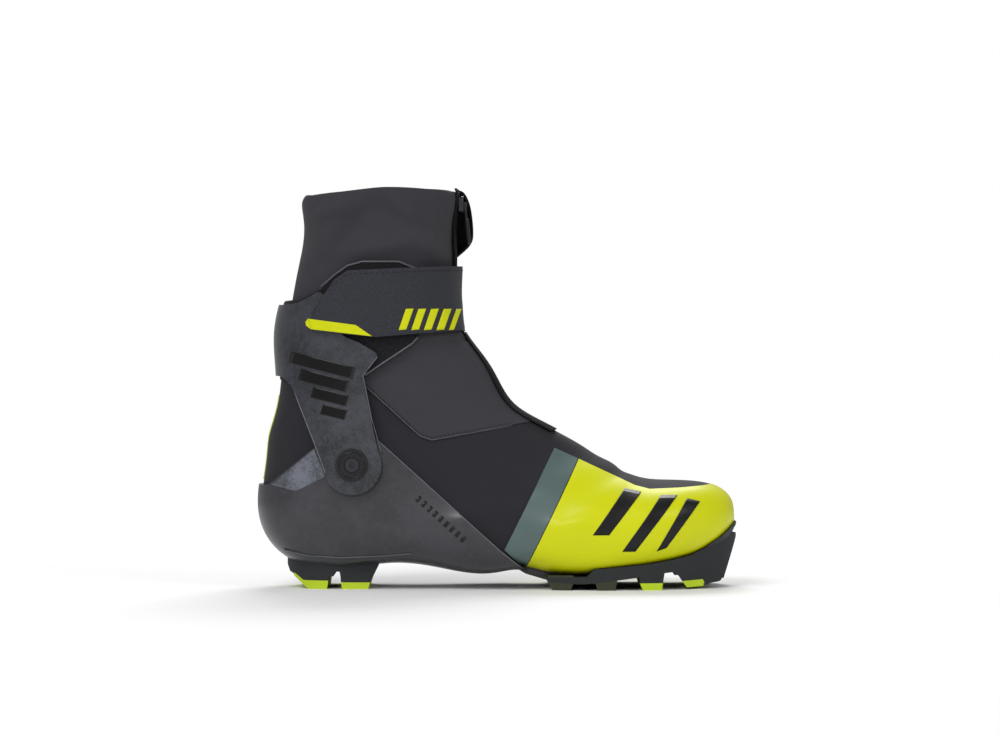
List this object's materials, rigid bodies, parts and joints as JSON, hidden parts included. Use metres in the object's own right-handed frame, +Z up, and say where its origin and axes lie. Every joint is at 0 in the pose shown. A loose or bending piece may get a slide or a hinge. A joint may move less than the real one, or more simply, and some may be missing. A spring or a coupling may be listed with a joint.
{
  "type": "cross country ski boot",
  "caption": "Right skating boot for cross-country skis: low carbon chassis, hinged carbon cuff with strap, zipped soft upper with ankle gaiter, and a grooved binding sole.",
  "frame": {"origin": "middle of the boot's bounding box in plan, at ground level", "axes": "+X towards the toe, +Y towards the inner side of this right boot, +Z up"},
  "size_m": [0.2966, 0.0973, 0.2465],
  "materials": {
    "skin": "matt woven fabric",
    "gaiter": "matt softshell",
    "lining": "brushed mesh",
    "foam": "soft foam",
    "film_yellow": "satin welded film",
    "film_grey": "satin welded film",
    "cover": "coated fabric",
    "webbing": "woven",
    "board": "pressed board",
    "rubber": "moulded",
    "rubber_neon": "moulded",
    "rubber_olive": "moulded",
    "steel": "brushed",
    "carbon": "clear-coated carbon laminate",
    "carbon_cuff": "clear-coated carbon laminate",
    "strap": "coated webbing",
    "hardware": "moulded nylon",
    "metal_dark": "blackened"
  },
  "bodies": {
    "boot": {"vamp": "skin", "quarter": "skin", "ankle_bellows": "skin", "lining_toe": "lining", "lining_heel": "lining", "tongue": "foam", "zip_tape": "webbing", "zip_coil": "hardware", "toe_film": "film_yellow", "grey_band": "film_grey", "lace_cover": "cover", "heel_stripe": "film_yellow", "lasting_board": "board", "footbed": "foam", "forefoot_base": "rubber", "ball_lugs": "rubber", "ball_lug_tips": "rubber_neon", "midfoot_lugs": "rubber_olive", "toe_lug_tips": "rubber_neon", "toe_bar": "steel", "heel_sole": "rubber", "heel_lug_tips": "rubber_neon", "carbon_chassis": "carbon", "hinge_disc_outer": "hardware", "hinge_disc_inner": "hardware", "hinge_screw_outer": "metal_dark", "hinge_screw_inner": "metal_dark", "hinge_nut_outer": "steel", "hinge_nut_inner": "steel"},
    "cuff": {"gaiter": "gaiter", "lining_shaft": "lining", "carbon_cuff": "carbon_cuff", "cuff_liner": "foam", "strap_anchor": "strap", "strap_rivets": "metal_dark", "pull_loop": "webbing"},
    "strap": {"strap_band": "strap"},
    "slider": {"zip_slider": "metal_dark"},
    "pull": {"zip_pull": "hardware"}
  },
  "joints": [
    {"name": "cuff_pivot", "type": "hinge", "parent": "boot", "child": "cuff", "pos_m": [-0.0884, 0, 0.0764], "axis": [0, 1, 0], "range_deg": [-6, 18], "deforming": ["ankle_bellows", "tongue", "zip_tape", "zip_coil", "lace_cover"]},
    {"name": "strap_hinge", "type": "hinge", "parent": "cuff", "child": "strap", "pos_m": [-0.045, 0.0399, 0.177], "axis": [0, 0, 1], "range_deg": [0, 100]},
    {"name": "zip_slide", "type": "slide", "parent": "cuff", "child": "slider", "axis": [-0.11, 0, -0.9939], "range_m": [0, 0.009]},
    {"name": "pull_swing", "type": "hinge", "parent": "slider", "child": "pull", "pos_m": [-0.0197, 0, 0.2355], "axis": [0, 1, 0], "range_deg": [-95, 0]}
  ]
}
